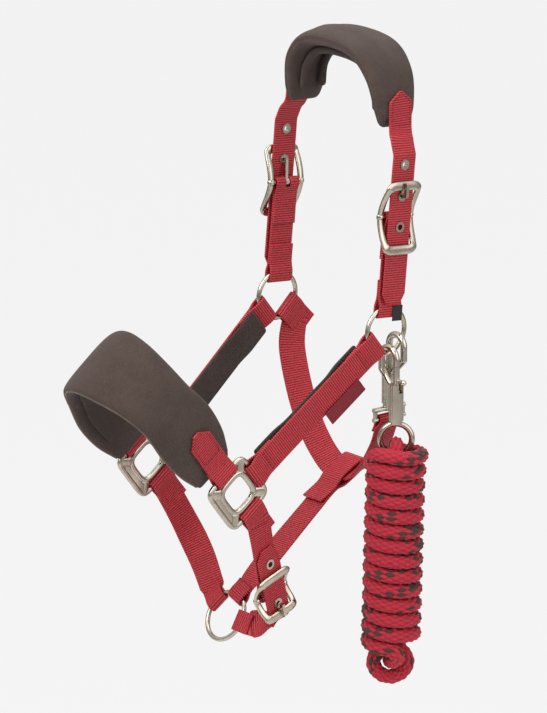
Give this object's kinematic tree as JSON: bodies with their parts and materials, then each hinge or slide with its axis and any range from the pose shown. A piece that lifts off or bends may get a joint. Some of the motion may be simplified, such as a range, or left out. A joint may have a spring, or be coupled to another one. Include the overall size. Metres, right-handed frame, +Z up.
{
  "type": "headcollar",
  "caption": "Red webbing headcollar with brown padded crown and noseband, cast rings, squares and buckles, and a lead rope in a hank on a trigger hook.",
  "frame": {"origin": "under the middle of the poll pad, where it rests on the horse's poll", "axes": "+Z up, the horse faces -X, its near (left) side is -Y"},
  "size_m": [0.331, 0.2056, 0.5803],
  "materials": {
    "webbing": "ribbed red webbing",
    "pad_fabric": "brushed brown fabric",
    "rope": "braided rope, red with brown flecks",
    "metal": "satin cast metal",
    "tag_black": "plain woven tag",
    "tag_red": "plain woven tag"
  },
  "bodies": {
    "crown": {"poll_pad": "pad_fabric", "poll_pad_lining": "pad_fabric", "near_billet": "webbing", "off_billet": "webbing", "near_eyelets": "metal", "off_eyelets": "metal", "near_buckle_frame": "metal", "off_buckle_frame": "metal", "near_buckle_loop": "webbing", "off_buckle_loop": "webbing", "ring_tag": "tag_black"},
    "near_ring": {"near_upper_ring": "metal"},
    "off_ring": {"off_upper_ring": "metal"},
    "near_tongue": {"near_buckle_tongue": "metal"},
    "off_tongue": {"off_buckle_tongue": "metal"},
    "face": {"near_cheek_strap": "webbing", "off_cheek_strap": "webbing", "near_cheek_lining": "pad_fabric", "off_cheek_lining": "pad_fabric", "side_tag": "tag_red", "near_square": "metal", "off_square": "metal", "nose_pad": "pad_fabric", "nose_pad_lining": "pad_fabric", "near_nose_tab": "webbing", "off_nose_tab": "webbing", "near_chin_strap": "webbing", "off_chin_strap": "webbing", "chin_billet": "webbing", "chin_eyelets": "metal", "chin_buckle_frame": "metal", "throat_clip_body": "metal", "throat_clip_spring": "metal", "throat_clip_eye": "metal", "throat_strap": "webbing", "jowl_strap": "webbing"},
    "chin_tongue": {"chin_buckle_tongue": "metal"},
    "chin_ring": {"chin_ring": "metal"},
    "clip_bolt": {"throat_clip_bolt": "metal"},
    "lead_hook": {"hook_body": "metal", "hook_spring": "metal"},
    "lead_bolt": {"hook_bolt": "metal"},
    "lead_rope": {"swivel_eye": "metal", "rope_head": "rope", "rope_core": "rope", "rope_wrap": "rope", "rope_bight": "rope"}
  },
  "joints": [
    {"name": "face_lift", "type": "hinge", "parent": "crown", "child": "face", "pos_m": [-0.02, 0, -0.24], "axis": [0, 1, 0], "range_deg": [0, 30]},
    {"name": "near_ring_spin", "type": "hinge", "parent": "crown", "child": "near_ring", "pos_m": [-0.02, -0.076, -0.24], "axis": [0, 1, 0], "continuous": true},
    {"name": "off_ring_spin", "type": "hinge", "parent": "crown", "child": "off_ring", "pos_m": [-0.02, 0.076, -0.24], "axis": [0, 1, 0], "continuous": true},
    {"name": "near_tongue_play", "type": "hinge", "parent": "crown", "child": "near_tongue", "pos_m": [-0.01, -0.076, -0.137], "axis": [0.9953, 0, -0.0966], "range_deg": [0, 2.5]},
    {"name": "off_tongue_play", "type": "hinge", "parent": "crown", "child": "off_tongue", "pos_m": [-0.01, 0.076, -0.137], "axis": [-0.9953, 0, 0.0966], "range_deg": [0, 2.5]},
    {"name": "chin_tongue_play", "type": "hinge", "parent": "face", "child": "chin_tongue", "pos_m": [-0.133, -0.054, -0.464], "axis": [-0.9494, -0.0667, -0.3068], "range_deg": [0, 2.5]},
    {"name": "chin_ring_spin", "type": "hinge", "parent": "face", "child": "chin_ring", "pos_m": [-0.14, 0, -0.498], "axis": [0.8713, 0, -0.4907], "continuous": true},
    {"name": "clip_bolt_slide", "type": "slide", "parent": "face", "child": "clip_bolt", "axis": [0, 0, -1], "range_m": [0, 0.008], "stiffness_N_per_m": 300, "springref_m": -0.01, "deforming": ["throat_clip_spring"]},
    {"name": "lead_hook_swing", "type": "hinge", "parent": "face", "child": "lead_hook", "pos_m": [-0.0178, -0.076, -0.261], "axis": [-1, 0, 0], "range_deg": [0, 60]},
    {"name": "lead_bolt_slide", "type": "slide", "parent": "lead_hook", "child": "lead_bolt", "axis": [0, 0, -1], "range_m": [0, 0.008], "stiffness_N_per_m": 300, "springref_m": -0.01, "deforming": ["hook_spring"]},
    {"name": "lead_swivel", "type": "hinge", "parent": "lead_hook", "child": "lead_rope", "pos_m": [-0.0178, -0.088, -0.32], "axis": [0, 0, 1], "continuous": true}
  ]
}
